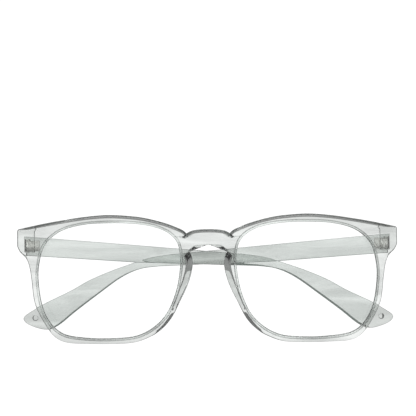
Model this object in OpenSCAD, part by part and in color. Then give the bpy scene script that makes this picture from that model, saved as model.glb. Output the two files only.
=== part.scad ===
// Full-rim plastic eyeglasses with both temples folded behind the front.
// Millimetres. +X is the wearer's left, +Y runs from the front back to the temples, +Z is up.
// The origin is on the ground under the middle of the folded pair, which stands on its two lower rims.

/* [Lenses] */
// Width of one lens opening
lens_w = 52.3; // [44:0.1:62]
// Height of one lens opening
lens_h = 42.3; // [34:0.1:50]
// Distance between the two lens openings
bridge_gap = 20.7; // [17:0.1:25]
// Thickness of a lens
lens_t = 1.8; // [1.2:0.1:2]
// How far a lens reaches into the groove of its rim
lens_bite = 0.95; // [0.5:0.05:1.1]
// Gap between a lens and the walls of its groove
lens_fit = 0.05; // [0.02:0.01:0.1]

/* [Front] */
// Radius of the curve that wraps the front round the face
wrap_r = 330; // [250:5:600]
// Thickness of the rims and the bridge
front_t = 3.4; // [3:0.1:5]
// Width of the rim above a lens
rim_top = 3; // [2.4:0.1:5]
// Width of the rim on the temple side of a lens
rim_side = 2.6; // [2.2:0.1:5]
// Width of the rim under a lens
rim_bottom = 2.1; // [1.9:0.1:4]
// Height of the bridge at its middle
bridge_h = 5.9; // [4:0.1:8]
// Drop from the top of the rims to the top of the bridge
bridge_drop = 5.4; // [4:0.1:8]
// Narrowest gap between the two nose pads
nose_gap = 11.5; // [10:0.1:14]
// How far the nose pads stand out behind the front
pad_depth = 5.4; // [2:0.1:7]
// Thickness of a nose pad, sideways
pad_t = 2.6; // [1.8:0.1:3]

/* [End pieces] */
// How far an end piece reaches out past its lens opening
end_reach = 7.85; // [6:0.05:12]
// Height of the upright outer side of an end piece
end_side_h = 6.4; // [5:0.1:10]
// How far an end piece goes back past the rear face of its rim
end_depth = 1.6; // [1.2:0.1:4]

/* [Temples] */
// Length of a temple from its hinge pin to its tip
temple_len = 135.8; // [120:0.5:150]
// Thickness of a temple
temple_t = 2.75; // [2.5:0.05:4]
// Height of a temple at its hinge end
temple_h = 7.2; // [6.4:0.1:9]
// Height of a temple at its narrow waist, before the bend
waist_h = 4.5; // [3.5:0.1:6]
// How far the upper edge falls along the straight part of a temple
temple_fall = 7.2; // [2:0.5:12]
// Gap between a temple's end and its end piece when the temple is open
butt_gap = 0.12; // [0.05:0.01:0.4]
// Angle by which the inner folded temple leans towards the lenses
inner_lean = 1.5; // [0.5:0.1:2]
// Angle by which the outer folded temple leans away from the lenses
outer_lean = 1.5; // [1.4:0.1:4]

/* [Hinges] */
// Radius of the hinge knuckles
knuckle_r = 1.2; // [1:0.05:1.6]
// Height of one hinge knuckle
knuckle_h = 1.3; // [1.1:0.05:1.6]
// Gap between two knuckles, along the pin
knuckle_gap = 0.06; // [0.03:0.01:0.15]
// Radius of the pivot screw's shank
pivot_r = 0.6; // [0.4:0.05:0.8]
// Gap around the pivot screw's shank
pivot_fit = 0.03; // [0.01:0.01:0.1]
// Radius of the pivot screw's head
head_r = 1.05; // [0.9:0.05:1.15]
// Height of the pivot screw's head
head_h = 0.6; // [0.4:0.05:1]
// Gap between the knuckles and the plastic beside them
knuckle_space = 0.1; // [0.05:0.01:0.2]
// Length of the plate of a hinge leaf in an end piece
front_leaf_len = 2.6; // [2.4:0.1:2.8]
// Length of the plate of a hinge leaf in a temple
temple_leaf_len = 4.4; // [3:0.1:6]
// Thickness of a hinge leaf's plate
leaf_t = 0.8; // [0.6:0.05:1]
// How far the teeth of a hinge leaf are sunk beyond its plate
tooth_depth = 1; // [0.6:0.05:1.1]
// Thickness of a hinge leaf's tooth
tooth_t = 0.6; // [0.4:0.05:0.8]

/* [Hidden] */

left = 1;
right = -1;
frame_colour = [0.84, 0.88, 0.86, 0.55];
lens_colour = [0.93, 0.96, 0.97, 0.3];
metal_colour = [0.66, 0.65, 0.62];

steps = 3;       // straight pieces between two points of a curve
eps = 0.01;      // overlap that lets a cut pass a face
wall_fn = 360;   // facets of the large wrap curves
small_fn = 48;   // facets of the hinge's round parts

// Overall sizes
half_w = bridge_gap / 2 + lens_w + end_reach;
front_top = rim_bottom + lens_h + rim_top;
function sag(x) = wrap_r - sqrt(wrap_r * wrap_r - x * x);

// Hinge: the end piece's rear face, the pin's axis and the height of both
end_back = sag(half_w) + front_t + end_depth;
pin_x = half_w - temple_t - knuckle_r - knuckle_space;
pin_y = end_back + knuckle_r + knuckle_space;
pin_z = lens_z(0.801);
barrel_h = 3 * knuckle_h + 2 * knuckle_gap;
temple_in = knuckle_r + knuckle_space;   // from the pin's axis to the temple's inner face
temple_out = temple_in + temple_t;
sink_fit = 0.02;                         // gap around metal that is sunk in plastic
leaf_past_pin = 0.4;                     // how far a leaf's plate runs past the pin's axis
end_wall = 0.4;                          // plastic left beside the leaf in an end piece

// The folded pair's depth, whose middle is the origin
folded_depth = pin_y + temple_out * cos(outer_lean) + temple_len * sin(outer_lean);

// The lens lies in the middle of the rim's thickness
lens_front = (front_t - lens_t) / 2;

// Points on the face of the front: u runs across a lens opening from the nose, v runs up it
function lens_x(u) = bridge_gap / 2 + u * lens_w;
function lens_z(v) = rim_bottom + v * lens_h;

// A smooth curve through points: a closed loop, or an open run that leaves out its last point
function between(a, b, c, d, t) =
    0.5 * (2 * b + (c - a) * t + (2 * a - 5 * b + 4 * c - d) * t * t
    + (3 * b - a - 3 * c + d) * t * t * t);
function loop_curve(p) = let (n = len(p)) [
    for (i = [0 : n - 1]) for (s = [0 : steps - 1])
        between(p[(i + n - 1) % n], p[i], p[(i + 1) % n], p[(i + 2) % n], s / steps)
];
function open_curve(p) = let (n = len(p)) [
    for (i = [0 : n - 2]) for (s = [0 : steps - 1])
        between(p[max(i - 1, 0)], p[i], p[i + 1], p[min(i + 2, n - 1)], s / steps)
];

// A clockwise loop of points moved outwards by d
function unit(v) = v / norm(v);
function grow(p, d) = let (n = len(p)) [
    for (i = [0 : n - 1])
        let (run = unit(p[(i + 1) % n] - p[(i + n - 1) % n])) p[i] + d * [-run[1], run[0]]
];

// One lens opening, clockwise from the middle of its upper edge
opening = loop_curve([
    for (p = [
        [0.49, 1], [0.66, 0.99], [0.805, 0.95], [0.9, 0.882], [0.962, 0.79], [0.992, 0.66],
        [1, 0.51], [0.975, 0.293], [0.916, 0.135], [0.815, 0.035], [0.644, 0.002], [0.453, 0],
        [0.3, 0.024], [0.177, 0.106], [0.089, 0.229], [0.03, 0.407], [0.003, 0.585],
        [0.001, 0.73], [0.03, 0.849], [0.108, 0.929], [0.223, 0.976], [0.357, 0.996]
    ]) [lens_x(p[0]), lens_z(p[1])]
]);

// The left half of the front's outline, from the middle of the bridge's top to the middle of its
// underside: the bridge, the brow, the end piece, the lower rim, and the nose side
bridge_top = front_top - bridge_drop;
bridge_under = bridge_top - bridge_h;
notch = [lens_x(-0.045), bridge_top - 1.5];
end_top = lens_z(0.952);
end_low = end_top - end_side_h;
half_outline = concat(
    open_curve([[0, bridge_top], [notch[0] * 0.4, bridge_top - 0.12], [notch[0] * 0.75, bridge_top - 0.55],
        notch]),
    open_curve([
        notch, [lens_x(-0.02), bridge_top - 0.35], [lens_x(0.035), bridge_top + 1],
        [lens_x(0.127), lens_z(0.936) + rim_top], [lens_x(0.261), lens_z(0.976) + rim_top],
        [lens_x(0.395), lens_z(0.995) + rim_top], [lens_x(0.529), lens_z(1) + rim_top],
        [lens_x(0.682), lens_z(0.984) + rim_top], [lens_x(0.835), lens_z(0.956) + rim_top],
        [lens_x(0.989), lens_z(0.922) + rim_top], [half_w - 0.9, end_top + 0.1]
    ]),
    open_curve([[half_w - 0.9, end_top + 0.1], [half_w - 0.25, end_top - 0.2], [half_w, end_top - 0.9]]),
    open_curve([[half_w, end_top - 0.9], [half_w, end_low]]),
    open_curve([
        [half_w, end_low], [half_w - 1, end_low - 2], [lens_x(1.01) + rim_side + 1.4, lens_z(0.695)],
        [lens_x(1.01) + rim_side + 0.2, lens_z(0.62)], [lens_x(1) + rim_side, lens_z(0.51)],
        [lens_x(0.977) + rim_side, lens_z(0.3)], [lens_x(0.908) + rim_side, lens_z(0.125)],
        [lens_x(0.835) + rim_side, lens_z(0.06) - rim_bottom], [lens_x(0.8), lens_z(0.012) - rim_bottom],
        [lens_x(0.66), lens_z(0.002) - rim_bottom], [lens_x(0.5), lens_z(0) - rim_bottom],
        [lens_x(0.33), lens_z(0.012) - rim_bottom], [lens_x(0.21), lens_z(0.064) - rim_bottom],
        [lens_x(0.13), lens_z(0.128) - rim_bottom], [lens_x(0.062), lens_z(0.174)],
        [lens_x(0.003), lens_z(0.317)], [nose_gap / 2 + 2.4, lens_z(0.43)],
        [nose_gap / 2 + 0.75, lens_z(0.54)], [nose_gap / 2, lens_z(0.64)],
        [nose_gap / 2 + 0.4, bridge_under - 4.2], [nose_gap / 2 + 1.05, bridge_under - 2.5]
    ]),
    open_curve([[nose_gap / 2 + 1.05, bridge_under - 2.5], [nose_gap / 2, bridge_under - 0.95],
        [nose_gap / 2 - 1.6, bridge_under - 0.2], [0, bridge_under]]),
    [[0, bridge_under]]
);
last = len(half_outline) - 1;
front_outline = concat(
    half_outline,
    [for (i = [last - 1 : -1 : 1]) [-half_outline[i][0], half_outline[i][1]]]
);

// A flat outline on the face of the front, pushed from y0 back to y1
module through(points, y0, y1) {
    translate([0, y1, 0])
        rotate([90, 0, 0])
            linear_extrude(y1 - y0) polygon(points);
}

// The space between two depths behind the wrapped front face
module wrapped(depth0, depth1) {
    translate([0, wrap_r, -eps])
        difference() {
            cylinder(r = wrap_r - depth0, h = front_top + 1, $fn = wall_fn);
            translate([0, 0, -1])
                cylinder(r = wrap_r - depth1, h = front_top + 3, $fn = wall_fn);
        }
}

module on_side(side) {
    if (side == left) children();
    else mirror([1, 0, 0]) children();
}

module centred() {
    translate([0, -folded_depth / 2, 0]) children();
}

module place_at_pin() {
    translate([pin_x, pin_y, pin_z]) children();
}

// Front: rims, bridge, end pieces and moulded nose pads in one piece
module end_block() {
    inner_x = pin_x + leaf_past_pin - front_leaf_len - end_wall;
    low_z = pin_z - barrel_h / 2 - end_wall;
    intersection() {
        through(front_outline, 0, end_back);
        translate([inner_x, sag(inner_x) + front_t / 2, low_z])
            cube([half_w, end_back, front_top]);
        translate([0, wrap_r, -eps])
            cylinder(r = wrap_r, h = front_top + 1, $fn = wall_fn);
    }
}

module nose_pad() {
    pad_top = lens_z(0.75);
    pad_low = lens_z(0.24);
    pad_mid = (pad_top + pad_low) / 2;
    half_chord = (pad_top - pad_low) / 2;
    bulge_r = (half_chord * half_chord + pad_depth * pad_depth) / (2 * pad_depth);
    edge = [
        for (p = half_outline)
            if (p[0] < lens_x(0.06) && p[1] < pad_top + 2 && p[1] > pad_low - 2) p
    ];
    strip = concat(edge, [for (i = [len(edge) - 1 : -1 : 0]) edge[i] + [pad_t, 0.25 * pad_t]]);
    intersection() {
        through(strip, front_t / 2, front_t + pad_depth);
        translate([0, front_t + pad_depth - bulge_r, pad_mid])
            rotate([0, 90, 0])
                cylinder(r = bulge_r, h = half_w, $fn = wall_fn);
    }
}

module front_frame() {
    color(frame_colour)
        centred()
            difference() {
                union() {
                    intersection() {
                        through(front_outline, -1, end_back + 1);
                        wrapped(0, front_t);
                    }
                    for (side = [left, right]) on_side(side) {
                        end_block();
                        nose_pad();
                    }
                }
                for (side = [left, right]) on_side(side) {
                    through(opening, -1, end_back + 1);
                    intersection() {
                        through(grow(opening, lens_bite + lens_fit), -1, end_back + 1);
                        wrapped(lens_front - lens_fit, lens_front + lens_t + lens_fit);
                    }
                    place_at_pin() front_leaf_solid(sink_fit);
                }
            }
}

module lens(side) {
    color(lens_colour)
        centred()
            on_side(side)
                intersection() {
                    through(grow(opening, lens_bite), -1, end_back + 1);
                    wrapped(lens_front, lens_front + lens_t);
                }
}

// Hinge leaves, drawn about the pin's axis with the temple open.
// Each is a plate with two teeth sunk in the plastic, and the knuckles that stand out of it.
module leaf_plate(length, extra) {
    tooth_h = barrel_h * 2 / 3;
    tooth_inset = 0.3;
    translate([-length - extra, -leaf_t - extra, -barrel_h / 2 - extra])
        cube([length + 2 * extra, leaf_t + extra, barrel_h + 2 * extra]);
    for (x = [-length + tooth_inset, -tooth_t - tooth_inset])
        translate([x - extra, -leaf_t - tooth_depth - extra, -tooth_h / 2 - extra])
            cube([tooth_t + 2 * extra, tooth_depth + extra + eps, tooth_h + 2 * extra]);
}

module front_leaf_solid(extra) {
    translate([leaf_past_pin, -temple_in, 0]) leaf_plate(front_leaf_len, extra);
}

module knuckle(z0) {
    translate([0, 0, z0])
        cylinder(r = knuckle_r, h = knuckle_h, $fn = small_fn);
}

module pin_hole() {
    translate([0, 0, -barrel_h])
        cylinder(r = pivot_r + pivot_fit, h = 2 * barrel_h, $fn = small_fn);
}

module front_leaf(side) {
    color(metal_colour)
        centred()
            on_side(side)
                place_at_pin()
                    difference() {
                        union() {
                            front_leaf_solid(0);
                            for (z = [-barrel_h / 2, barrel_h / 2 - knuckle_h]) {
                                knuckle(z);
                                translate([-knuckle_r, -temple_in - eps, z])
                                    cube([knuckle_r + leaf_past_pin, temple_in + eps, knuckle_h]);
                            }
                        }
                        pin_hole();
                    }
}

// The leaf's plate on the temple's inner face, with its teeth pointing out
module temple_leaf_solid(extra) {
    translate([temple_in, -leaf_past_pin, 0])
        rotate([0, 0, 90])
            mirror([1, 0, 0])
                leaf_plate(temple_leaf_len, extra);
}

module temple_leaf(side) {
    color(metal_colour)
        folded(side)
            difference() {
                union() {
                    temple_leaf_solid(0);
                    knuckle(-knuckle_h / 2);
                    translate([0, -leaf_past_pin, -knuckle_h / 2])
                        cube([temple_in + eps, knuckle_r + leaf_past_pin, knuckle_h]);
                }
                pin_hole();
            }
}

module pivot_screw(side) {
    slot_w = head_r / 3;
    color(metal_colour)
        centred()
            on_side(side)
                place_at_pin()
                    difference() {
                        union() {
                            translate([0, 0, -barrel_h / 2 - 0.2])
                                cylinder(r = pivot_r, h = barrel_h + 0.2, $fn = small_fn);
                            translate([0, 0, barrel_h / 2])
                                cylinder(r = head_r, h = head_h, $fn = small_fn);
                        }
                        translate([-head_r, -slot_w / 2, barrel_h / 2 + head_h / 2])
                            cube([2 * head_r, slot_w, head_h]);
                    }
}

// Temple: a flat bar that narrows to a waist, then bends down to a wider tip.
// Its side view runs back along the open temple: a is the distance from the pin, b the height.
function back(a) = a / 135.8 * temple_len;
waist_top = pin_z + temple_h / 2 - temple_fall;
waist_low = waist_top - waist_h;
butt = -temple_in + butt_gap;
temple_outline = concat(
    [[butt, pin_z + temple_h / 2]],
    open_curve([
        [back(80), waist_top], [back(88), waist_top - 1.2], [back(95), waist_top - 3.4],
        [back(103), waist_top - 6.2], [back(111), waist_top - 9.6], [back(118), waist_top - 13.5],
        [back(127), waist_top - 17.8], [back(132), waist_top - 20.6], [back(135.6), waist_top - 23.2],
        [back(134.9), waist_top - 25.4], [back(131.5), waist_top - 27.1], [back(127), waist_top - 28],
        [back(122.5), waist_low - 21.9], [back(116), waist_low - 16.7], [back(107.5), waist_low - 10.3],
        [back(99), waist_low - 4.2], [back(92), waist_low - 1], [back(85), waist_low]
    ]),
    [
        [back(85), waist_low], [back(40), pin_z - temple_h / 2 - temple_fall * 0.4],
        [butt, pin_z - temple_h / 2]
    ]
);

// Turns a piece drawn about the pin with its temple open into the folded place on its side
module folded(side) {
    fold = side == left ? 90 - outer_lean : 90 + inner_lean;
    centred()
        on_side(side)
            place_at_pin()
                rotate([0, 0, fold]) children();
}

module temple(side) {
    color(frame_colour)
        folded(side)
            difference() {
                translate([temple_in, 0, -pin_z])
                    rotate([90, 0, 90])
                        linear_extrude(temple_t) polygon(temple_outline);
                temple_leaf_solid(sink_fit);
            }
}

front_frame();
lens(left);  // lens_left
lens(right);  // lens_right
temple(left);  // temple_left
temple(right);  // temple_right
front_leaf(left);  // hinge_front_leaf_left
front_leaf(right);  // hinge_front_leaf_right
temple_leaf(left);  // hinge_temple_leaf_left
temple_leaf(right);  // hinge_temple_leaf_right
pivot_screw(left);  // pivot_screw_left
pivot_screw(right);  // pivot_screw_right
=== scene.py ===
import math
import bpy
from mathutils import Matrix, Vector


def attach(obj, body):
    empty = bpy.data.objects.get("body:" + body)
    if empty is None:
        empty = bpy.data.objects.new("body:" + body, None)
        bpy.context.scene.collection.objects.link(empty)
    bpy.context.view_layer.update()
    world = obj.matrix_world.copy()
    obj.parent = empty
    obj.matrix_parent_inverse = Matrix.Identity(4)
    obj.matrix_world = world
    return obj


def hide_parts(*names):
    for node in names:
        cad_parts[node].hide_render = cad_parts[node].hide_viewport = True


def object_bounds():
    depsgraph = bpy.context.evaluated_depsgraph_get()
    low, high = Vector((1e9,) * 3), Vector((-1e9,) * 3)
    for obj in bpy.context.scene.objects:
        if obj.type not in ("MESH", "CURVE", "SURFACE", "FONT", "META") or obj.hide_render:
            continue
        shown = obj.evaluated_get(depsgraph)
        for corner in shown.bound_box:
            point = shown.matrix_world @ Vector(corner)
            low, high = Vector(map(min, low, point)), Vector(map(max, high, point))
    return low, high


bl_info = {
    "name": "Clear folding eyeglasses",
    "version": (1, 0, 0),
    "blender": (4, 5, 0),
    "location": "3D View > Sidebar > Eyeglasses",
    "description": "Builds folded see-through plastic eyeglasses and a plain studio around them",
    "category": "Add Mesh",
}

from collections import namedtuple

import bmesh
import bpy
from mathutils import Vector

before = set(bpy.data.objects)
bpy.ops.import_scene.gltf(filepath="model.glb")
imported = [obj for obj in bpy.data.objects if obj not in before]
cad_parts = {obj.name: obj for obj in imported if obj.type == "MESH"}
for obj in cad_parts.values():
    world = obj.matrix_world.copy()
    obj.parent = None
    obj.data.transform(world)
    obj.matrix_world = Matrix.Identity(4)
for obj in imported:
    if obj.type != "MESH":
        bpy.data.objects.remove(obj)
CAD_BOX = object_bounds()
MM = 0.001
STATION = "station"
# Points this close together are merged. In the hinge pieces it is TINY, which is also how near a
# line a place has to be to count as on it.
MERGE = 2e-6
TINY = 1e-6
# A row this many roundings in from an edge holds the flat beside the rounding.
HOLD = 1.2

# ---------------------------------------------------------------- sizes and colours


def length(name, description, default, low=0.0, high=1.0):
    return bpy.props.FloatProperty(
        name=name,
        description=description,
        default=default,
        min=low,
        max=high,
        precision=5,
        unit="LENGTH",
    )


def colour(name, description, default):
    return bpy.props.FloatVectorProperty(
        name=name,
        description=description,
        default=default,
        size=4,
        min=0,
        max=1,
        subtype="COLOR",
    )


def share(name, description, default):
    return bpy.props.FloatProperty(
        name=name, description=description, default=default, min=0, max=1, subtype="FACTOR"
    )


class FrontSizes(bpy.types.PropertyGroup):
    lens_width: length("Lens width", "Width of one lens opening", 0.0523)
    lens_height: length("Lens height", "Height of one lens opening", 0.0423)
    bridge_gap: length("Bridge gap", "Distance between the two lens openings", 0.0207)
    wrap: length("Wrap radius", "Radius of the curve that wraps the front round the face", 0.33)
    thickness: length("Front thickness", "Thickness of the rims and the bridge", 0.0034)
    rim_top: length("Rim above", "Width of the rim above a lens", 0.003)
    rim_side: length("Rim beside", "Width of the rim on the temple side of a lens", 0.0026)
    rim_bottom: length("Rim below", "Width of the rim under a lens", 0.0021)
    bridge_height: length("Bridge height", "Height of the bridge at its middle", 0.0059)
    bridge_drop: length("Bridge drop", "Drop from the top of the rims to the bridge", 0.0054)
    nose_gap: length("Nose gap", "Narrowest gap between the nose pads", 0.0115)
    pad_depth: length("Pad depth", "How far the nose pads stand out behind the front", 0.0054)
    pad_width: length("Pad thickness", "Thickness of a nose pad, sideways", 0.0026)
    end_reach: length(
        "End piece reach", "How far an end piece reaches past its lens opening", 0.00785
    )
    end_side: length("End piece side", "Height of the upright side of an end piece", 0.0064)
    end_depth: length("End piece depth", "How far an end piece goes back past its rim", 0.0016)
    edge: length("Outer rounding", "Radius that rounds the outer edges of the front", 0.0006)
    nose_edge: length("Nose rounding", "Radius that rounds the edges beside the nose", 0.00165)
    brow_edge: length("Brow rounding", "Radius that rounds the upper edge of the front", 0.00165)
    opening_edge: length("Opening rounding", "Radius that rounds the lens openings", 0.0003)
    groove: length("Groove depth", "How deep the groove for the lens is cut", 0.001)
    groove_front: length("Groove front", "Distance of the groove from the front face", 0.00075)


class LensSizes(bpy.types.PropertyGroup):
    thickness: length("Lens thickness", "Thickness of a lens", 0.0018)
    bite: length("Bite", "How far a lens reaches into its groove", 0.00095)
    ground: length("Ground band", "Width of the matt band ground round the lens", 0.0004)
    edge: length("Edge bevel", "Bevel round the edge of a lens", 0.00015)


class TempleSizes(bpy.types.PropertyGroup):
    reach: length("Temple length", "Length of a temple from its hinge pin to its tip", 0.1358)
    thickness: length("Temple thickness", "Thickness of a temple", 0.00275)
    height: length("Temple height", "Height of a temple at its hinge end", 0.0072)
    waist: length("Waist height", "Height of a temple at its narrow waist", 0.0045)
    fall: length("Fall", "How far the upper edge falls along the straight part", 0.0072)
    under_edge: length("Lower edge", "Radius that rounds the lower edge of a temple", 0.0009)
    edge: length("Edge rounding", "Radius that rounds the long edges of a temple", 0.0002)
    butt_gap: length("Butt gap", "Gap between an open temple and its end piece", 0.00012)
    pin_offset: length("Pin offset", "From the hinge pin to the inner face of the temple", 0.0013)
    dimple_radius: length("Dimple radius", "Radius of the moulded dimple near the tip", 0.0011)
    dimple_depth: length("Dimple depth", "Depth of the moulded dimple near the tip", 0.00025)
    inner_lean: bpy.props.FloatProperty(
        name="Inner lean",
        description="Angle by which the inner folded temple leans towards the lenses",
        default=math.radians(1.5),
        subtype="ANGLE",
    )
    outer_lean: bpy.props.FloatProperty(
        name="Outer lean",
        description="Angle by which the outer folded temple leans away from the lenses",
        default=math.radians(1.5),
        subtype="ANGLE",
    )


class FinishColours(bpy.types.PropertyGroup):
    plastic: colour(
        "Clear plastic", "Tint of the clear plastic's surface", (0.97, 0.985, 0.975, 1)
    )
    plastic_depth: colour(
        "Plastic depth", "Colour that thick clear plastic turns", (0.515, 0.545, 0.525, 1)
    )
    lens: colour("Lens", "Tint of the lenses", (0.985, 0.995, 0.99, 1))
    metal: colour("Hinge metal", "Colour of the hinges and pivot screws", (0.97, 0.96, 0.93, 1))
    # Paper is the colour of the light that the floor and backdrop give off themselves; the paper's
    # own surface is a dark grey.
    paper: colour("Paper", "Colour of the studio's floor and backdrop", (1, 1, 1, 1))
    haze: share("Plastic haze", "Mean roughness of the clear plastic", 0.03)


class StageSizes(bpy.types.PropertyGroup):
    radius: length("Cove radius", "Radius of the floor and of the backdrop round it", 1.4, high=5)
    height: length("Cove height", "Height of the backdrop above the floor", 1.0, high=5)
    curve: length(
        "Cove curve", "Radius of the curve between the floor and the backdrop", 0.2, high=5
    )
    drop: length("Floor drop", "How far the floor lies below the lower rims", 0.24, high=5)
    lit_width: length("Lit width", "Width of the bright part of the backdrop", 0.56, high=5)
    floor_glow: share("Floor glow", "Light given off by the floor", 0.3)
    wall_glow: share("Wall glow", "Light given off by the backdrop at the sides", 0.1)
    front_glow: share("Front glow", "Light given off by the backdrop on the camera's side", 0.95)
    lit_glow: bpy.props.FloatProperty(
        name="Backdrop glow",
        description="Light given off by the backdrop behind the glasses",
        default=1.0,
    )
    camera_distance: length(
        "Camera distance", "Distance of the camera from the front", 0.65, high=5
    )
    camera_height: length(
        "Camera height", "Height of the camera above the lower rims", 0.0497, high=5
    )


GROUPS = {
    "glasses_front": FrontSizes,
    "glasses_lens": LensSizes,
    "glasses_temple": TempleSizes,
    "glasses_finish": FinishColours,
    "glasses_stage": StageSizes,
}


def sizes(group):
    return getattr(bpy.context.scene, group)


# ---------------------------------------------------------------- curves


def between(a, b, c, d, t):
    """A point from b to c on the smooth line through all four."""
    return 0.5 * (
        2 * b
        + (c - a) * t
        + (2 * a - 5 * b + 4 * c - d) * t * t
        + (3 * b - a - 3 * c + d) * t * t * t
    )


def open_curve(points, steps):
    """A smooth run through the points, without its last point."""
    points = [Vector(p) for p in points]
    last = len(points) - 1
    found = []
    for i in range(last):
        a, b, c, d = points[max(i - 1, 0)], points[i], points[i + 1], points[min(i + 2, last)]
        found += [between(a, b, c, d, step / steps) for step in range(steps)]
    return found


def loop_point(points, t):
    """The point of a smooth closed loop at t, which counts its points."""
    n = len(points)
    i = math.floor(t)
    a, b, c, d = (Vector(points[(i + k) % n]) for k in (-1, 0, 1, 2))
    return between(a, b, c, d, t - i)


def eased(value, start, span):
    """0 up to start, 1 from a span past it, and straight between them."""
    return min(1, max(0, (value - start) / span))


# The length of a sharp corner's step is at most one over this.
MITRE_LIMIT = 0.75


def mitres(points, closed=True):
    """For each point of a clockwise line, the outward step that moves both its sides out by one."""
    n = len(points)
    steps = []
    for i in range(n):
        before = points[i] - points[i - 1] if closed or i > 0 else points[1] - points[0]
        after = points[(i + 1) % n] - points[i] if closed or i < n - 1 else points[-1] - points[-2]
        a, b = (Vector((-v[1], v[0])).normalized() for v in (before, after))
        middle = (a + b).normalized()
        steps.append(middle / max(MITRE_LIMIT, middle.dot(a)))
    return steps


# ---------------------------------------------------------------- modelling by hand


def start(name, maker, **where):
    """Adds a primitive as the start of a piece and opens it for editing, all selected."""
    bpy.ops.object.select_all(action="DESELECT")
    maker(**where)
    piece = bpy.context.object
    piece.name = name
    piece.data.name = name
    bpy.ops.object.mode_set(mode="EDIT")
    bpy.ops.mesh.select_mode(type="VERT")
    bpy.ops.mesh.select_all(action="SELECT")
    return piece


def start_loop(name, count, place):
    """A ring of points, each put where place says. They are numbered, and extruding keeps that."""
    ring = bpy.ops.mesh.primitive_circle_add
    piece = start(name, ring, vertices=count, radius=0.01, fill_type="NOTHING")
    mesh = bmesh.from_edit_mesh(piece.data)
    number = mesh.verts.layers.int.new(STATION)
    mesh.verts.ensure_lookup_table()
    for i, vert in enumerate(mesh.verts):
        vert[number] = i
        vert.co = place(i)
    bmesh.update_edit_mesh(piece.data)
    return piece


def extrude_loop(piece, place):
    """Extrudes the selected ring and puts each new point where place says."""
    bpy.ops.mesh.extrude_region_move()
    mesh = bmesh.from_edit_mesh(piece.data)
    number = mesh.verts.layers.int[STATION]
    for vert in mesh.verts:
        if vert.select:
            vert.co = place(vert[number])
    bmesh.update_edit_mesh(piece.data)


def close_cap(piece):
    """Closes the first ring with a face and selects only the ring again, for the next extrusion."""
    close_face()
    mesh = bmesh.from_edit_mesh(piece.data)
    for edge in mesh.edges:
        edge.select_set(True)
    bmesh.update_edit_mesh(piece.data)


def close_face():
    bpy.ops.mesh.edge_face_add()
    bpy.ops.mesh.select_all(action="DESELECT")


def solid_from_rings(name, count, rings):
    """Closes the first ring, extrudes it through the others and closes the last."""
    piece = start_loop(name, count, rings[0])
    close_cap(piece)
    for place in rings[1:]:
        extrude_loop(piece, place)
    close_face()
    tidy_surface(piece)
    return piece


def select_faces(piece, wanted):
    bpy.ops.mesh.select_all(action="DESELECT")
    bpy.ops.mesh.select_mode(type="FACE")
    mesh = bmesh.from_edit_mesh(piece.data)
    for face in mesh.faces:
        face.select_set(wanted(face))
    mesh.select_flush_mode()
    bmesh.update_edit_mesh(piece.data)


def tidy_surface(piece):
    """Merges what touches, drops what has no area and turns all faces outwards."""
    bpy.ops.mesh.select_mode(type="VERT")
    bpy.ops.mesh.select_all(action="SELECT")
    bpy.ops.mesh.remove_doubles(threshold=MERGE)
    bpy.ops.mesh.dissolve_degenerate(threshold=MERGE)
    bpy.ops.mesh.normals_make_consistent(inside=False)
    bpy.ops.object.mode_set(mode="OBJECT")
    if STATION in piece.data.attributes:
        piece.data.attributes.remove(piece.data.attributes[STATION])


def pick(piece):
    bpy.ops.object.select_all(action="DESELECT")
    piece.select_set(True)
    bpy.context.view_layer.objects.active = piece


def edit_all(piece):
    pick(piece)
    bpy.ops.object.mode_set(mode="EDIT")
    bpy.ops.mesh.select_all(action="SELECT")


def apply_modifier(piece, kind, **settings):
    pick(piece)
    bpy.ops.object.modifier_add(type=kind)
    modifier = piece.modifiers[-1]
    for key, value in settings.items():
        setattr(modifier, key, value)
    bpy.ops.object.modifier_apply(modifier=modifier.name)


def smooth(piece, degrees=35):
    pick(piece)
    bpy.ops.object.shade_smooth_by_angle(angle=math.radians(degrees))


def mirrored_copy(piece, name):
    """A copy on the other side of the nose, with a mesh of its own."""
    pick(piece)
    bpy.ops.object.duplicate(linked=False)
    twin = bpy.context.object
    twin.name = name
    twin.data.name = name
    edit_all(twin)
    bpy.ops.transform.mirror(
        constraint_axis=(True, False, False), orient_type="GLOBAL", center_override=(0, 0, 0)
    )
    bpy.ops.mesh.normals_make_consistent(inside=False)
    bpy.ops.object.mode_set(mode="OBJECT")
    return twin


def finish_piece(piece, body, node, material=None):
    """Says what a piece is. With no material it keeps those it has."""
    if material is not None:
        piece.data.materials.clear()
        piece.data.materials.append(material)
    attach(piece, body)
    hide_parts(node)


# ---------------------------------------------------------------- the front's own lines

# The lens opening as shares of its width and height, clockwise from its top.
OPENING = (
    (0.49, 1), (0.66, 0.99), (0.805, 0.95), (0.9, 0.882), (0.962, 0.79), (0.992, 0.66),
    (1, 0.51), (0.975, 0.293), (0.916, 0.135), (0.815, 0.035), (0.644, 0.002), (0.453, 0),
    (0.3, 0.024), (0.177, 0.106), (0.089, 0.229), (0.03, 0.407), (0.003, 0.585),
    (0.001, 0.73), (0.03, 0.849), (0.108, 0.929), (0.223, 0.976), (0.357, 0.996),
)  # fmt: skip
# The hinge pin's middle, as a share of the opening's height.
PIN_HEIGHT = 0.801
# Half the stretch of the opening's edge that gives its direction, in points of OPENING.
NEAR = 0.02


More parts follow.
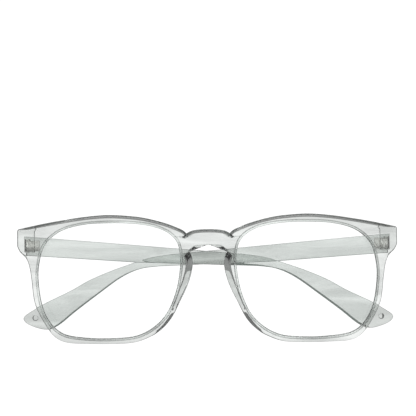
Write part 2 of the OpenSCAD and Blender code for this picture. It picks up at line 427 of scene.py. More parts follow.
class FrontLines:
    """Places on the front that its pieces share: X across, Z up, depth back from the front face."""

    def __init__(self):
        self.s = sizes("glasses_front")
        s = self.s
        self.half_width = s.bridge_gap / 2 + s.lens_width + s.end_reach
        self.top = s.rim_bottom + s.lens_height + s.rim_top
        self.bridge_top = self.top - s.bridge_drop
        self.bridge_under = self.bridge_top - s.bridge_height
        self.pin_z = self.z(PIN_HEIGHT)
        self.end_back = self.sag(self.half_width) + s.thickness + s.end_depth
        self.depth_zero = CAD_BOX[0][1]
        self.opening = [(self.x(u), self.z(v)) for u, v in OPENING]

    def x(self, u):
        return self.s.bridge_gap / 2 + u * self.s.lens_width

    def z(self, v):
        return self.s.rim_bottom + v * self.s.lens_height

    def sag(self, x):
        return self.s.wrap - math.sqrt(self.s.wrap**2 - x * x)

    def on_front(self, x, z, depth):
        return Vector((x, self.depth_zero + self.sag(x) + depth, z))

    def opening_at(self, t):
        """The edge of the lens opening at t and the direction from it into the rim."""
        a, b = (loop_point(self.opening, t + step) for step in (-NEAR, NEAR))
        along = (b - a).normalized()
        return loop_point(self.opening, t), Vector((-along[1], along[0]))


def front_stations(lines):
    """Stations round one half of the front, from the bridge's top round the rim to its underside.
    Each is x and z on the outline, and the place on the lens opening that faces it."""
    s = lines.s
    x, z = lines.x, lines.z
    half, under, top = lines.half_width, lines.bridge_under, lines.bridge_top
    nose = s.nose_gap / 2
    notch_x = x(-0.045)
    end_top = z(0.952)
    end_low = end_top - s.end_side
    side, low = s.rim_side, s.rim_bottom
    runs = [
        [(0, top, 17.7), (notch_x * 0.4, top - 0.12 * MM, 17.95),
         (notch_x * 0.75, top - 0.55 * MM, 18.15), (notch_x, top - 1.5 * MM, 18.3)],
        [(notch_x, top - 1.5 * MM, 18.3), (x(-0.02), top - 0.35 * MM, 18.45),
         (x(0.035), top + 1 * MM, 18.75), (x(0.127), z(0.936) + s.rim_top, 19.3),
         (x(0.261), z(0.976) + s.rim_top, 20.35),
         (x(0.395), z(0.995) + s.rim_top, 21.3), (x(0.529), z(1) + s.rim_top, 22.2),
         (x(0.682), z(0.984) + s.rim_top, 23.15), (x(0.835), z(0.956) + s.rim_top, 24.2),
         (x(0.989), z(0.922) + s.rim_top, 24.9), (half - 0.9 * MM, end_top + 0.1 * MM, 25.3)],
        [(half - 0.9 * MM, end_top + 0.1 * MM, 25.3), (half - 0.25 * MM, end_top - 0.2 * MM, 25.4),
         (half, end_top - 0.9 * MM, 25.5)],
        [(half, end_top - 0.9 * MM, 25.5), (half, end_low, 26.2)],
        [(half, end_low, 26.2), (half - 1 * MM, end_low - 2 * MM, 26.5),
         (x(1.01) + side + 1.4 * MM, z(0.695), 26.85), (x(1.01) + side + 0.2 * MM, z(0.62), 27.3),
         (x(1) + side, z(0.51), 28), (x(0.977) + side, z(0.3), 28.95),
         (x(0.908) + side, z(0.125), 30), (x(0.835) + side, z(0.06) - low, 30.6),
         (x(0.8), z(0.012) - low, 31.1), (x(0.66), z(0.002) - low, 31.95),
         (x(0.5), z(0) - low, 32.8), (x(0.33), z(0.012) - low, 33.8),
         (x(0.21), z(0.064) - low, 34.7), (x(0.13), z(0.128) - low, 35.25),
         (x(0.062), z(0.174), 35.8), (x(0.003), z(0.317), 36.6),
         (nose + 2.4 * MM, z(0.43), 37.15), (nose + 0.75 * MM, z(0.54), 37.7),
         (nose, z(0.64), 38.2), (nose + 0.4 * MM, under - 4.2 * MM, 38.5),
         (nose + 1.05 * MM, under - 2.5 * MM, 38.65)],
        [(nose + 1.05 * MM, under - 2.5 * MM, 38.65), (nose, under - 0.95 * MM, 38.75),
         (nose - 1.6 * MM, under - 0.2 * MM, 38.82), (0, under, 38.9)],
    ]  # fmt: skip
    found = [p for run in runs for p in open_curve(run, 5)]
    return found + [Vector((0, under, 38.9))]


# The raised block behind an end piece, which holds the hinge: how far it comes in from the side,
# and how far below the hinge pin it ends.
BLOCK_INWARD = 0.00665
BLOCK_BELOW_PIN = 0.00241
# How near the block's corner a side of the outline has to be, to get stations where it crosses the
# block's edges, and half the gap between those two stations.
BLOCK_NEAR = 0.001
BLOCK_HALF_GAP = 0.00005
# The shares of the opening's height between which the nose pad stands out, and the share of its
# width up to which the outline has a pad.
PAD_LOW, PAD_TOP = 0.24, 0.75
PAD_REACH = 0.13
# The seam down the middle of the bridge: how many stations, how far its ends keep from the bridge's
# faces in shares of the roundings there, and the places on the opening that face its ends.
SEAM_STATIONS = 9
SEAM_LOW_SHARE, SEAM_HIGH_SHARE = 1.1, 1.06
SEAM_FIRST, SEAM_SPAN = 38.95, 0.7
# Roundings where the block and the pads step down to the plain back.
BLOCK_STEP_EDGE, PAD_STEP_EDGE = 0.0003, 0.0012
# The share of a station's flat at which its raised part ends: on a plain station, where it only
# spaces the rows, the least on the block, and the least and most on a pad.
PLAIN_SPLIT, BLOCK_LEAST = 0.5, 0.02
PAD_LEAST, PAD_MOST = 0.05, 0.8
# How much of a pad's rise its outer rounding takes up.
PAD_SOFTNESS = 0.6
# Room behind a lens in its groove.
GROOVE_ROOM = 0.0001

# One place round the front: whether it is on the seam, the opening's edge and the direction from it
# into the rim, the outline and the direction out of it, the start and end of the flat between their
# roundings, the share of that flat at which the raised part ends, its kind, and the outer rounding.
RimStation = namedtuple(
    "RimStation", "seam edge into outer out rim_start rim_end split kind radius"
)


class FrontRows:
    """The rows that the front's surface is made of. Each kind of row has a method, which gives a
    function that says where the row's stations lie."""

    def __init__(self, lines):
        self.lines = lines
        self.s = lines.s
        self.block_x = lines.half_width - BLOCK_INWARD
        self.block_z = lines.pin_z - BLOCK_BELOW_PIN
        pad_low, pad_top = lines.z(PAD_LOW), lines.z(PAD_TOP)
        pad_half, pad_depth = (pad_top - pad_low) / 2, self.s.pad_depth
        self.pad_middle = (pad_low + pad_top) / 2
        self.pad_curve = (pad_half**2 + pad_depth**2) / (2 * pad_depth)
        self.stations = self.round_the_rim() + self.down_the_seam()

    def round_the_rim(self):
        outline = with_block_corners(front_stations(self.lines), self.block_x, self.block_z)
        steps = mitres([Vector((p[0], p[1])) for p in outline], closed=False)
        steps[0], steps[-1] = Vector((0, 1)), Vector((0, -1))
        return [
            self.station(p, step, i < len(outline) // 2)
            for i, (p, step) in enumerate(zip(outline, steps))
        ]

    def down_the_seam(self):
        low = self.lines.bridge_under + self.s.edge * SEAM_LOW_SHARE
        high = self.lines.bridge_top - self.s.brow_edge * SEAM_HIGH_SHARE
        last = SEAM_STATIONS - 1
        return [
            self.station(
                Vector((0, low + (high - low) * k / last, SEAM_FIRST + SEAM_SPAN * k / last)),
                Vector((0, 0)),
                seam=True,
            )
            for k in range(SEAM_STATIONS)
        ]

    def station(self, p, out, upper_half=False, seam=False):
        lines, s = self.lines, self.s
        edge, into = lines.opening_at(p[2])
        outer = Vector((p[0], p[1]))
        radius = edge_radius(lines, outer, out)
        start, end = outer - out * radius, edge + into * s.opening_edge
        near_nose = not seam and p[0] < lines.x(PAD_REACH) and p[1] < lines.bridge_under + 1e-9
        split, kind = PLAIN_SPLIT, "plain"
        if upper_half and p[0] >= self.block_x and p[1] >= self.block_z:
            kind = "block"
            sides = ((start[0], end[0], self.block_x), (start[1], end[1], self.block_z))
            crossings = [
                (a - limit) / (a - b) for a, b, limit in sides if (a - limit) * (b - limit) < 0
            ]
            split = min(crossings, default=BLOCK_LEAST)
        elif near_nose and self.pad_height(p[1]) > 0:
            kind = "pad"
            split = (s.pad_width - radius) / (start - end).length
            split = min(PAD_MOST, max(PAD_LEAST, split))
        return RimStation(seam, edge, into, outer, out, start, end, split, kind, radius)

    def pad_height(self, z):
        rise = self.pad_curve**2 - (z - self.pad_middle) ** 2
        return max(0.0, math.sqrt(max(rise, 0)) - (self.pad_curve - self.s.pad_depth))

    def raised(self, station, x):
        """How far the raised part of a station stands out behind the plain back."""
        if station.kind == "block":
            return self.lines.end_back - self.lines.sag(x) - self.s.thickness
        if station.kind == "pad":
            return self.pad_height(station.outer[1])
        return 0.0

    def opening(self, offset, depth):
        def place(i):
            station = self.stations[i]
            p = station.edge + station.into * offset
            return self.lines.on_front(p[0], p[1], depth)

        return place

    def front_face(self, share_across):
        def place(i):
            station = self.stations[i]
            p = station.rim_start.lerp(station.rim_end, share_across)
            return self.lines.on_front(p[0], p[1], 0)

        return place

    def outer_edge(self, in_, down, at_back):
        """in_ and down are shares of the rounding's radius, from the outline and from the face."""

        def place(i):
            station = self.stations[i]
            radius, thickness = station.radius, self.s.thickness
            if station.seam:
                return self.lines.on_front(0, station.outer[1], thickness if at_back else 0)
            p = station.outer - station.out * radius * in_
            if not at_back:
                return self.lines.on_front(p[0], p[1], radius * down)
            rise = self.raised(station, p[0])
            deep = radius + (PAD_SOFTNESS * rise if station.kind == "pad" else 0)
            return self.lines.on_front(p[0], p[1], thickness - deep * down + rise)

        return place

    def raised_back(self, part, below, shift, rise=1):
        """A point at a share of the way from the outline to the step. below and shift are shares of
        the step's own rounding, under the raised face and past the point. With a rise of 0 it lies
        on the plain back."""

        def place(i):
            station = self.stations[i]
            p = station.rim_start.lerp(station.rim_end, station.split * part)
            width = (station.rim_start - station.rim_end).length
            height = self.raised(station, p[0])
            edge = PAD_STEP_EDGE if station.kind == "pad" else BLOCK_STEP_EDGE
            edge = min(edge, height / 2, width * station.split * 0.4)
            if width > 0:
                p = p + (station.rim_end - station.rim_start) / width * (shift * edge)
            height = self.raised(station, p[0]) * rise
            return self.lines.on_front(p[0], p[1], self.s.thickness + height - below * edge)

        return place

    def plain_back(self, share_across):
        """A point on the plain back, at a share of the way from the step to the opening."""

        def place(i):
            station = self.stations[i]
            split = station.split
            p = station.rim_start.lerp(station.rim_end, split + (1 - split) * share_across)
            return self.lines.on_front(p[0], p[1], self.s.thickness)

        return place

    def all(self):
        """The rows in order: the opening's front edge, the front face, the outer edges, the raised
        and the plain back, the opening's back edge and the groove."""
        s = self.s
        o, t = s.opening_edge, s.thickness
        fine = [math.radians(a) for a in (0, 15, 30, 45, 60, 75, 90)]
        coarse = [math.radians(a) for a in (0, 30, 60, 90)]
        rows = [self.opening(o * (1 - math.cos(a)), o * (1 - math.sin(a))) for a in coarse]
        rows += [self.front_face(f) for f in (0.96, 0.75, 0.5, 0.25, 0.04)]
        rows += [self.outer_edge(1 - math.sin(a), 1 - math.cos(a), False) for a in fine]
        rows += [self.outer_edge(1 - math.cos(a), 1 - math.sin(a), True) for a in fine]
        rows += [self.raised_back(0.08, 0, 0), self.raised_back(0.3, 0, 0)]
        rows += [self.raised_back(1, 0, -HOLD)]
        rows += [self.raised_back(1, 1 - math.cos(a), math.sin(a) - 1) for a in coarse]
        rows += [self.raised_back(1, 0, 0.02, rise=0)]
        rows += [self.plain_back(f) for f in (0.35, 0.7, 0.96)]
        rows += [self.opening(o * (1 - math.sin(a)), t - o * (1 - math.cos(a))) for a in coarse]
        groove_back = s.groove_front + sizes("glasses_lens").thickness + GROOVE_ROOM
        rows += [self.opening(0, groove_back), self.opening(s.groove, groove_back)]
        rows += [self.opening(s.groove, s.groove_front), self.opening(0, s.groove_front)]
        return rows


def whole_front():
    """Models one half of the front as a ring round its lens opening, row by row, and mirrors it."""
    surface = FrontRows(FrontLines())
    rows = surface.all()
    front = start_loop("front", len(surface.stations), rows[0])
    for place in rows[1:] + rows[:1]:
        extrude_loop(front, place)
    select_faces(front, lambda face: all(abs(vert.co.x) < TINY for vert in face.verts))
    bpy.ops.mesh.delete(type="FACE")
    tidy_surface(front)
    apply_modifier(front, "MIRROR", merge_threshold=MERGE)
    bpy.ops.object.mode_set(mode="EDIT")
    tidy_surface(front)
    smooth(front)
    return front


# Where the outline's roundings change: how far out from the nose the edges under the bridge and
# beside the nose reach, as shares of the opening's width, and how far from the end piece's side the
# brow's rounding starts and over what length it grows.
UNDER_BRIDGE, BESIDE_NOSE = 0.045, 0.16
END_PLAIN, END_EASE = 0.001, 0.003
# How far an edge has to face up, or to one side, before its rounding grows, and the span of that.
TURNED_UP, TURNED_ASIDE = (0.2, 0.5), (0.3, 0.5)
UNDER_BRIDGE_SHARE = 0.5


def edge_radius(lines, outer, out):
    """The rounding of the outline's edges: large along the brow, the bridge's top and the nose."""
    s = lines.s
    if outer[0] < lines.x(UNDER_BRIDGE) and outer[1] <= lines.bridge_under + TINY:
        return s.edge * UNDER_BRIDGE_SHARE
    upward = eased(out[1], *TURNED_UP) if outer[1] > lines.bridge_under else 0
    room = eased(lines.half_width - outer[0], END_PLAIN, END_EASE)
    beside_nose = outer[0] < lines.x(BESIDE_NOSE) and outer[1] < lines.bridge_under
    inward = eased(-out[0], *TURNED_ASIDE) if beside_nose else 0
    return s.edge + (s.brow_edge - s.edge) * upward * room + (s.nose_edge - s.edge) * inward


def with_block_corners(outline, block_x, block_z):
    """The outline with two close stations where it crosses the edges of the end piece's block."""
    found = []
    for a, b in zip(outline, outline[1:]):
        found.append(a)
        near = max(a[0], b[0]) > block_x - BLOCK_NEAR and max(a[1], b[1]) > block_z - BLOCK_NEAR
        for axis, limit in ((0, block_x), (1, block_z)):
            if near and (a[axis] - limit) * (b[axis] - limit) < 0:
                t = (limit - a[axis]) / (b[axis] - a[axis])
                gap = BLOCK_HALF_GAP / (b - a).length
                found += [a.lerp(b, t - gap), a.lerp(b, t + gap)]
    return found + [outline[-1]]


# ---------------------------------------------------------------- lenses, temples and hinges


LENS_POINTS = 132
# The rings on a lens's faces, as shares of the way from its middle to a line near its edge, and how
# far that line is from the edge.
LENS_SHARES = (0.12, 0.3, 0.5, 0.7, 0.86, 0.96)
LENS_INSET = 0.002
# A ring this far inside the bevel keeps the face flat, and one at this share rounds the bevel.
LENS_HOLD, BEVEL_SHARE = 0.0002, 0.3


def left_lens():
    """Models a lens as rings that close in on its middle, on both faces."""
    lines = FrontLines()
    s = sizes("glasses_lens")
    turns = len(lines.opening) / LENS_POINTS
    edges = [lines.opening_at(i * turns) for i in range(LENS_POINTS)]
    centre = Vector((lines.x(0.5), lines.z(0.5)))
    front = (lines.s.thickness - s.thickness) / 2

    def ring(offset, depth, share_out):
        def place(i):
            edge, into = edges[i]
            p = centre.lerp(edge + into * (s.bite - offset), share_out)
            return lines.on_front(p[0], p[1], front + depth)

        return place

    def in_ground_band(face):
        middle = face.calc_center_median()
        p = Vector((middle.x, middle.z))
        edge, into = min(edges, key=lambda e: (p - e[0]).length_squared)
        return (p - edge).dot(into) > s.bite - s.ground

    b = s.edge
    half = [(LENS_INSET, 0, share_out) for share_out in LENS_SHARES]
    half += [(s.ground, 0, 1), (b + LENS_HOLD, 0, 1), (b, 0, 1)]
    half += [(b * BEVEL_SHARE, b * BEVEL_SHARE, 1), (0, b, 1)]
    rings = [ring(*numbers) for numbers in half]
    rings += [ring(offset, s.thickness - depth, f) for offset, depth, f in reversed(half)]
    lens = solid_from_rings("lens_body_left", LENS_POINTS, rings)
    smooth(lens)
    lens.data.materials.append(shared("coated_lens", clear_lens))
    lens.data.materials.append(shared("ground_lens_edge", ground_edge))
    bpy.ops.object.mode_set(mode="EDIT")
    select_faces(lens, in_ground_band)
    give_slot(lens, 1)
    bpy.ops.object.mode_set(mode="OBJECT")
    return lens


# The temple's length in mm in the side view that temple_line draws.
DRAWN_REACH = 135.8
# Where the dimple is in that view: how far back, and how far under the top of the waist in metres.
DIMPLE_BACK, DIMPLE_UNDER = 131.5, 0.0237
# How far a temple's edge has to face down before its rounding grows, and the span of that.
TURNED_DOWN = (0.3, 0.5)


def temple_back(drawn):
    """How far back from the hinge pin a place in the side view lies."""
    return drawn / DRAWN_REACH * sizes("glasses_temple").reach


def waist_top():
    """The height of the upper edge where the temple is narrowest."""
    s = sizes("glasses_temple")
    return FrontLines().pin_z + s.height / 2 - s.fall


def hinge_pin(side=1):
    """The middle of a hinge pin. The side is 1 for the wearer's left and -1 for the right."""
    lines = FrontLines()
    s = sizes("glasses_temple")
    pin_x = side * (lines.half_width - s.thickness - s.pin_offset)
    return pin_x, lines.depth_zero + lines.end_back + s.pin_offset, lines.pin_z


def temple_line():
    """The side view of a temple: how far back from the pin, and the height, clockwise."""
    s = sizes("glasses_temple")
    pin_z = FrontLines().pin_z
    butt = -s.pin_offset + s.butt_gap
    top, low = pin_z + s.height / 2, pin_z - s.height / 2
    waist = waist_top()
    waist_low = waist - s.waist
    bend = [
        (80, waist), (88, waist - 1.2 * MM), (95, waist - 3.4 * MM), (103, waist - 6.2 * MM),
        (111, waist - 9.6 * MM), (118, waist - 13.5 * MM), (127, waist - 17.8 * MM),
        (132, waist - 20.6 * MM), (135.6, waist - 23.2 * MM), (134.9, waist - 25.4 * MM),
        (131.5, waist - 27.1 * MM), (127, waist - 28 * MM), (122.5, waist_low - 21.9 * MM),
        (116, waist_low - 16.7 * MM), (107.5, waist_low - 10.3 * MM), (99, waist_low - 4.2 * MM),
        (92, waist_low - 1 * MM), (85, waist_low),
    ]  # fmt: skip
    points = [Vector((butt, top)), Vector((temple_back(40), top - s.fall * 0.5))]
    points += open_curve([(temple_back(a), z) for a, z in bend], 5)
    points += [Vector((temple_back(85), waist_low))]
    points += [Vector((temple_back(60), waist_low + 0.9 * MM))]
    points += [Vector((temple_back(40), low - s.fall * 0.4))]
    points += [Vector((temple_back(20), low - s.fall * 0.2)), Vector((butt, low))]
    return points


def left_temple():
    """Models a temple open, as its side view pushed through its thickness, with rounded edges."""
    s = sizes("glasses_temple")
    points = temple_line()
    steps = mitres(points)
    pin_x, pin_y, _ = hinge_pin()
    inner_x = pin_x + s.pin_offset
    more = s.under_edge - s.edge
    radii = [s.edge + more * eased(-step[1], *TURNED_DOWN) for step in steps]

    def ring(in_, across, at_outside):
        """in_ and across are shares of the rounding's radius, from the outline and the side."""

        def place(i):
            p = points[i] - steps[i] * in_ * radii[i]
            side = s.thickness - across * radii[i] if at_outside else across * radii[i]
            return Vector((inner_x + side, pin_y + p[0], p[1]))

        return place

    arc = [math.radians(a) for a in (0, 18, 36, 54, 72, 90)]
    rings = [ring(HOLD, 0, False)]
    rings += [ring(1 - math.sin(a), 1 - math.cos(a), False) for a in arc]
    rings += [ring(1 - math.cos(a), 1 - math.sin(a), True) for a in arc]
    rings += [ring(HOLD, 0, True)]
    temple = solid_from_rings("temple_bar_left", len(points), rings)
    place = (inner_x + s.thickness, pin_y + temple_back(DIMPLE_BACK), waist_top() - DIMPLE_UNDER)
    cut_dimple(temple, place)
    smooth(temple)
    return temple


def cut_dimple(temple, place):
    """Presses the small round dimple into the outer face near the tip."""
    s = sizes("glasses_temple")
    cutter = start(
        "dimple_cutter",
        bpy.ops.mesh.primitive_uv_sphere_add,
        segments=32,
        ring_count=16,
        radius=s.dimple_radius,
        location=place,
    )
    flat = (s.dimple_depth / s.dimple_radius, 1, 1)
    bpy.ops.transform.resize(value=flat, center_override=place)
    bpy.ops.object.mode_set(mode="OBJECT")
    apply_modifier(temple, "BOOLEAN", object=cutter, operation="DIFFERENCE", solver="EXACT")
    bpy.data.objects.remove(cutter)


def fold(temple, side, angle):
    """Turns an open temple about its hinge pin to its folded place."""
    edit_all(temple)
    bpy.ops.transform.rotate(
        value=-side * angle,
        orient_axis="Z",
        orient_type="GLOBAL",
        center_override=hinge_pin(side),
    )
    bpy.ops.mesh.normals_make_consistent(inside=False)
    bpy.ops.object.mode_set(mode="OBJECT")


# The small bevel that eases a hinge piece's edges, on edges sharper than this.
METAL_BEVEL = 0.00007
METAL_SHARP = math.radians(40)


def metal_piece(node):
    """A copy of a hinge piece from the frame, with its loose triangles joined and edges eased."""
    pick(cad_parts[node])
    bpy.ops.object.duplicate(linked=False)
    piece = bpy.context.object
    for key in list(piece.keys()):
        if key.startswith("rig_"):
            del piece[key]
    piece.parent = None
    piece.name = node + "_metal"
    piece.data.name = piece.name
    edit_all(piece)
    bpy.ops.mesh.remove_doubles(threshold=TINY)
    bpy.ops.mesh.dissolve_limited(angle_limit=math.radians(1))
    bpy.ops.object.mode_set(mode="OBJECT")
    bevel = dict(width=METAL_BEVEL, segments=2, limit_method="ANGLE", angle_limit=METAL_SHARP)
    apply_modifier(piece, "BEVEL", **bevel)
    smooth(piece)
    return piece


# ---------------------------------------------------------------- materials


GLASS_INDEX = 1.5
# The part of a pattern's range that is spread out.
NOISE_RANGE = (0.3, 0.7)
# How strongly the plastic takes up light in its depth. The temples' plastic is a little greyer.
FRONT_DENSITY, TEMPLE_DENSITY = 105, 270
# The flow streaks in the plastic: how much darker they are, and where they start and end.
STREAK_SHADE = 0.74
STREAK_RANGE = (0.4, 0.62)
HAZE_SPREAD = 0.6
LENS_COATING = (0.72, 0.95, 0.85, 1)
GROUND_DARK, GROUND_PALE = (0.82, 0.84, 0.83, 1), (0.93, 0.95, 0.94, 1)
METAL_SHADE = 0.8


def shared(name, maker, *settings):
    """The material of that name, made the first time that it is asked for."""
    return bpy.data.materials.get(name) or maker(name, *settings)


def new_material(name, **inputs):
    material = bpy.data.materials.new(name)
    material.use_nodes = True
    shader = material.node_tree.nodes["Principled BSDF"]
    for key, value in inputs.items():
        shader.inputs[key.replace("_", " ")].default_value = value
    return material, material.node_tree.nodes, material.node_tree.links, shader


def add_node(nodes, kind, place=(0, 0), **settings):
    node = nodes.new(kind)
    node.location = place
    for key, value in settings.items():
        if key.startswith("in_"):
            node.inputs[key[3:].replace("_", " ")].default_value = value
        else:
            setattr(node, key, value)
    return node


def pattern(nodes, links, place, scale, detail=3.0, distortion=0.0, stretch=(1, 1, 1)):
    """A soft pattern on the piece's own place in space."""
    x, y = place
    where = add_node(nodes, "ShaderNodeTexCoord", (x - 380, y))
    mapping = add_node(nodes, "ShaderNodeMapping", (x - 200, y), in_Scale=stretch)
    noise = add_node(nodes, "ShaderNodeTexNoise", place, in_Scale=scale, in_Detail=detail)
    noise.inputs["Distortion"].default_value = distortion
    links.new(where.outputs["Object"], mapping.inputs["Vector"])
    links.new(mapping.outputs["Vector"], noise.inputs["Vector"])
    return noise


def spread(nodes, links, noise, low, high, socket):
    """Spreads a pattern from low to high and links it to a socket."""
    mapped = add_node(nodes, "ShaderNodeMapRange", (-260, 120), in_To_Min=low, in_To_Max=high)
    mapped.inputs["From Min"].default_value, mapped.inputs["From Max"].default_value = NOISE_RANGE
    links.new(noise.outputs["Fac"], mapped.inputs["Value"])
    links.new(mapped.outputs["Result"], socket)


def tint(nodes, links, noise, dark, pale, socket, ends=(0, 1)):
    """Colours a pattern from dark to pale and links it to a socket."""
    ramp = add_node(nodes, "ShaderNodeValToRGB", (-260, 420))
    for element, end, tone in zip(ramp.color_ramp.elements, ends, (dark, pale)):
        element.position = end
        element.color = tone
    links.new(noise.outputs["Fac"], ramp.inputs["Fac"])
    links.new(ramp.outputs["Color"], socket)


def relief(nodes, links, noise, strength, distance, socket):
    """Makes a pattern a fine relief and links it to a socket."""
    bump = add_node(nodes, "ShaderNodeBump", (-240, -240))
    bump.inputs["Strength"].default_value = strength
    bump.inputs["Distance"].default_value = distance
    links.new(noise.outputs["Fac"], bump.inputs["Height"])
    links.new(bump.outputs["Normal"], socket)


def shaded(tone, share_left):
    return [part * share_left for part in tone[:3]] + [1]


def clear_plastic(name, density):
    """Polished see-through plastic with faint flow streaks, slight haze and colour in its depth."""
    finish = sizes("glasses_finish")
    material, nodes, links, shader = new_material(name, Transmission_Weight=1, IOR=GLASS_INDEX)
    dark, pale = shaded(finish.plastic, STREAK_SHADE), finish.plastic
    streaks = pattern(nodes, links, (-460, 420), 130, 4, distortion=0.8, stretch=(0.22, 1, 1.4))
    tint(nodes, links, streaks, dark, pale, shader.inputs["Base Color"], STREAK_RANGE)
    wear = pattern(nodes, links, (-460, 120), 60)
    low, high = finish.haze * (1 - HAZE_SPREAD), finish.haze * (1 + HAZE_SPREAD)
    spread(nodes, links, wear, low, high, shader.inputs["Roughness"])
    ripple = pattern(nodes, links, (-460, -240), 220, 2)
    relief(nodes, links, ripple, 0.25, 0.00003, shader.inputs["Normal"])
    depth = add_node(nodes, "ShaderNodeVolumeAbsorption", (60, -420), in_Density=density)
    depth.inputs["Color"].default_value = finish.plastic_depth
    links.new(depth.outputs["Volume"], nodes["Material Output"].inputs["Volume"])
    return material


def clear_lens(name):
    """Coated lens plastic with the faintest smears."""
    material, nodes, links, shader = new_material(name, Transmission_Weight=1, IOR=GLASS_INDEX)
    shader.inputs["Base Color"].default_value = sizes("glasses_finish").lens
    shader.inputs["Specular Tint"].default_value = LENS_COATING
    smears = pattern(nodes, links, (-540, 120), 25)
    spread(nodes, links, smears, 0.0, 0.012, shader.inputs["Roughness"])
    return material


def ground_edge(name):
    """The matt band that is ground round a lens, where it sits in the rim's groove."""
    material, nodes, links, shader = new_material(name, Transmission_Weight=0.9, IOR=GLASS_INDEX)
    grain = pattern(nodes, links, (-540, 120), 800)
    spread(nodes, links, grain, 0.28, 0.42, shader.inputs["Roughness"])
    tint(nodes, links, grain, GROUND_DARK, GROUND_PALE, shader.inputs["Base Color"])
    return material


def satin_metal(name):
    """Brushed nickel with a fine upright grain."""
    metal = sizes("glasses_finish").metal
    material, nodes, links, shader = new_material(name, Metallic=1)
    grain = pattern(nodes, links, (-540, 120), 900, 4, stretch=(1, 1, 6))
    spread(nodes, links, grain, 0.12, 0.26, shader.inputs["Roughness"])
    tint(nodes, links, grain, shaded(metal, METAL_SHADE), metal, shader.inputs["Base Color"])
    relief(nodes, links, grain, 0.3, 0.00001, shader.inputs["Normal"])
    return material


def studio_paper(name, glow):
    """Plain paper that gives off its own even light, so that nothing throws a hard shadow on it."""
    material, nodes, links, shader = new_material(name, Roughness=1, Specular_IOR_Level=0)
    fibres = pattern(nodes, links, (-540, 120), 40)
    spread(nodes, links, fibres, 0.17, 0.19, shader.inputs["Base Color"])
    # The paper's white is light that it gives off itself, not the colour of its surface, which is
    # the dark grey of the fibres above.
    shader.inputs["Emission Color"].default_value = sizes("glasses_finish").paper
    shader.inputs["Emission Strength"].default_value = glow
    return material


# ---------------------------------------------------------------- the studio


# The share of the curve's height above which the cove is backdrop and not floor, and how far in
# front of the glasses the backdrop on the camera's side begins.
WALL_START = 0.15
FRONT_START = -0.3
FLOOR, SIDES, BEHIND, FRONT = range(4)


def paper_at(place, s):
    """Which paper the cove has at a place, before the floor is let down."""
    if place.z <= s.curve * WALL_START:
        return FLOOR
    if place.y < FRONT_START:
        return FRONT
    return BEHIND if place.y > 0 and abs(place.x) < s.lit_width / 2 else SIDES


def build_stage():
    """A round floor whose rim curves up into a backdrop, which glows brightly behind the glasses.
    """
    s = sizes("glasses_stage")
    flat = s.radius - s.curve
    circle = bpy.ops.mesh.primitive_circle_add
    cove = start("studio_cove", circle, vertices=180, radius=flat, fill_type="NGON")
    for angle in (math.radians(a) for a in range(10, 100, 10)):
        ring_up(cove, flat + s.curve * math.sin(angle), s.curve * (1 - math.cos(angle)))
    ring_up(cove, s.radius, s.height)
    for glow in (s.floor_glow, s.wall_glow, s.lit_glow, s.front_glow):
        cove.data.materials.append(studio_paper("studio_paper", glow))
    for paper in (SIDES, BEHIND, FRONT):
        select_faces(cove, lambda face: paper_at(face.calc_center_median(), s) == paper)
        give_slot(cove, paper)
    bpy.ops.mesh.select_all(action="SELECT")
    bpy.ops.transform.translate(value=(0, 0, -s.drop))
    tidy_surface(cove)
    smooth(cove)


def give_slot(piece, number):
    piece.active_material_index = number
    bpy.ops.object.material_slot_assign()


def ring_up(piece, radius, height):
    """Extrudes the open rim of the cove to a new radius and height."""
    bpy.ops.mesh.select_all(action="DESELECT")
    bpy.ops.mesh.select_mode(type="EDGE")
    mesh = bmesh.from_edit_mesh(piece.data)
    for edge in mesh.edges:
        edge.select_set(edge.is_boundary)
    bmesh.update_edit_mesh(piece.data)
    bpy.ops.mesh.extrude_region_move()
    mesh = bmesh.from_edit_mesh(piece.data)
    for vert in mesh.verts:
        if vert.select:
            flat = Vector((vert.co.x, vert.co.y)).normalized() * radius
            vert.co = (flat[0], flat[1], height)
    bmesh.update_edit_mesh(piece.data)


def soft_light(name, place, target, size, watts):
    bpy.ops.object.light_add(type="AREA", location=place)
    lamp = bpy.context.object
    lamp.name = name
    lamp.data.shape = "RECTANGLE"
    lamp.data.size, lamp.data.size_y = size
    lamp.data.energy = watts
    lamp.rotation_euler = (Vector(target) - Vector(place)).to_track_quat("-Z", "Y").to_euler()


# Where the camera looks, across and back, and how it is turned and rolled.
CAMERA_AIM = (0.0002, -0.003)
CAMERA_TURN = math.radians(-1.5)
CAMERA_ROLL = math.radians(-0.45)
# How wide the view is at the glasses.
VIEW_WIDTH = 0.1543
SENSOR_MM = 36


def add_camera():
    s = sizes("glasses_stage")
    target = Vector((*CAMERA_AIM, s.camera_height))
    forward = Vector((-math.sin(CAMERA_TURN), math.cos(CAMERA_TURN), 0))
    bpy.ops.object.camera_add(location=target - forward * s.camera_distance)
    camera = bpy.context.object
    camera.name = "studio_camera"
    camera.rotation_euler = forward.to_track_quat("-Z", "Y").to_euler()
    camera.rotation_euler.rotate_axis("Z", CAMERA_ROLL)
    camera.data.sensor_width = SENSOR_MM
    camera.data.lens = SENSOR_MM * s.camera_distance / VIEW_WIDTH
    camera.data.clip_start = 0.01
    bpy.context.scene.camera = camera


# ---------------------------------------------------------------- operators


class GLASSES_OT_front(bpy.types.Operator):
    """Builds the front: both rims, the bridge, the end pieces and the moulded nose pads"""

    bl_idname = "glasses.front"
    bl_label = "Front"
    bl_options = {"REGISTER", "UNDO"}

    def execute(self, context):
        plastic = shared("polished_clear_plastic", clear_plastic, FRONT_DENSITY)
        finish_piece(whole_front(), "front", "front_frame", plastic)
        return {"FINISHED"}


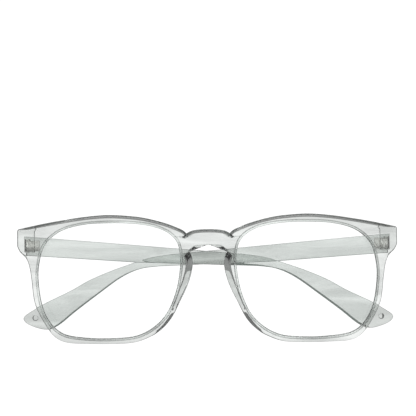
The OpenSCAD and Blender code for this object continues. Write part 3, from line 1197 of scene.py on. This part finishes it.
class GLASSES_OT_lenses(bpy.types.Operator):
    """Builds the two lenses in their grooves"""

    bl_idname = "glasses.lenses"
    bl_label = "Lenses"
    bl_options = {"REGISTER", "UNDO"}

    def execute(self, context):
        left = left_lens()
        right = mirrored_copy(left, "lens_body_right")
        for piece, node in ((left, "lens_left"), (right, "lens_right")):
            finish_piece(piece, "front", node)
        return {"FINISHED"}


class GLASSES_OT_temples(bpy.types.Operator):
    """Builds the two temples, folded behind the front"""

    bl_idname = "glasses.temples"
    bl_label = "Temples"
    bl_options = {"REGISTER", "UNDO"}

    def execute(self, context):
        s = sizes("glasses_temple")
        left = left_temple()
        right = mirrored_copy(left, "temple_bar_right")
        fold(left, 1, math.radians(90) - s.outer_lean)
        fold(right, -1, math.radians(90) + s.inner_lean)
        plastic = shared("polished_grey_plastic", clear_plastic, TEMPLE_DENSITY)
        for piece, node in ((left, "temple_left"), (right, "temple_right")):
            finish_piece(piece, node, node, plastic)
        return {"FINISHED"}


class GLASSES_OT_hinges(bpy.types.Operator):
    """Builds the hinge leaves and the pivot screws"""

    bl_idname = "glasses.hinges"
    bl_label = "Hinges"
    bl_options = {"REGISTER", "UNDO"}

    def execute(self, context):
        metal = shared("satin_nickel", satin_metal)
        for side in ("left", "right"):
            for node, body in (
                ("hinge_front_leaf_" + side, "front"),
                ("pivot_screw_" + side, "front"),
                ("hinge_temple_leaf_" + side, "temple_" + side),
            ):
                finish_piece(metal_piece(node), body, node, metal)
        return {"FINISHED"}


# Each lamp: its name, place, target, width and height, and watts.
LAMPS = (
    ("soft_light_top", (0.0, -0.1, 0.9), (0, 0, 0), (0.7, 0.5), 2),
    ("soft_light_side", (-0.7, -0.7, 0.35), (0, 0, 0.02), (0.4, 0.5), 1.5),
)
AIR_COLOUR = (0.3, 0.3, 0.3, 1)


class GLASSES_OT_stage(bpy.types.Operator):
    """Builds the pale floor and backdrop, the soft lights and the camera"""

    bl_idname = "glasses.stage"
    bl_label = "Studio"
    bl_options = {"REGISTER", "UNDO"}

    def execute(self, context):
        build_stage()
        for lamp in LAMPS:
            soft_light(*lamp)
        world = bpy.data.worlds.new("studio_air")
        world.use_nodes = True
        world.node_tree.nodes["Background"].inputs["Color"].default_value = AIR_COLOUR
        context.scene.world = world
        context.scene.view_settings.view_transform = "Standard"
        add_camera()
        return {"FINISHED"}


class GLASSES_PT_panel(bpy.types.Panel):
    bl_label = "Clear folding eyeglasses"
    bl_idname = "GLASSES_PT_panel"
    bl_space_type = "VIEW_3D"
    bl_region_type = "UI"
    bl_category = "Eyeglasses"

    def draw(self, context):
        for group, kind in GROUPS.items():
            box = self.layout.box()
            for key in kind.__annotations__:
                box.prop(getattr(context.scene, group), key)
        for operator in OPERATORS:
            self.layout.operator(operator.bl_idname)


OPERATORS = (
    GLASSES_OT_front,
    GLASSES_OT_lenses,
    GLASSES_OT_temples,
    GLASSES_OT_hinges,
    GLASSES_OT_stage,
)


def register():
    for kind in (*GROUPS.values(), *OPERATORS, GLASSES_PT_panel):
        bpy.utils.register_class(kind)
    for group, kind in GROUPS.items():
        setattr(bpy.types.Scene, group, bpy.props.PointerProperty(type=kind))


def unregister():
    for group in GROUPS:
        delattr(bpy.types.Scene, group)
    for kind in (GLASSES_PT_panel, *reversed(OPERATORS), *reversed(list(GROUPS.values()))):
        bpy.utils.unregister_class(kind)


def main():
    register()
    for operator in OPERATORS:
        family, name = operator.bl_idname.split(".")
        getattr(getattr(bpy.ops, family), name)()


if __name__ == "__main__":
    main()
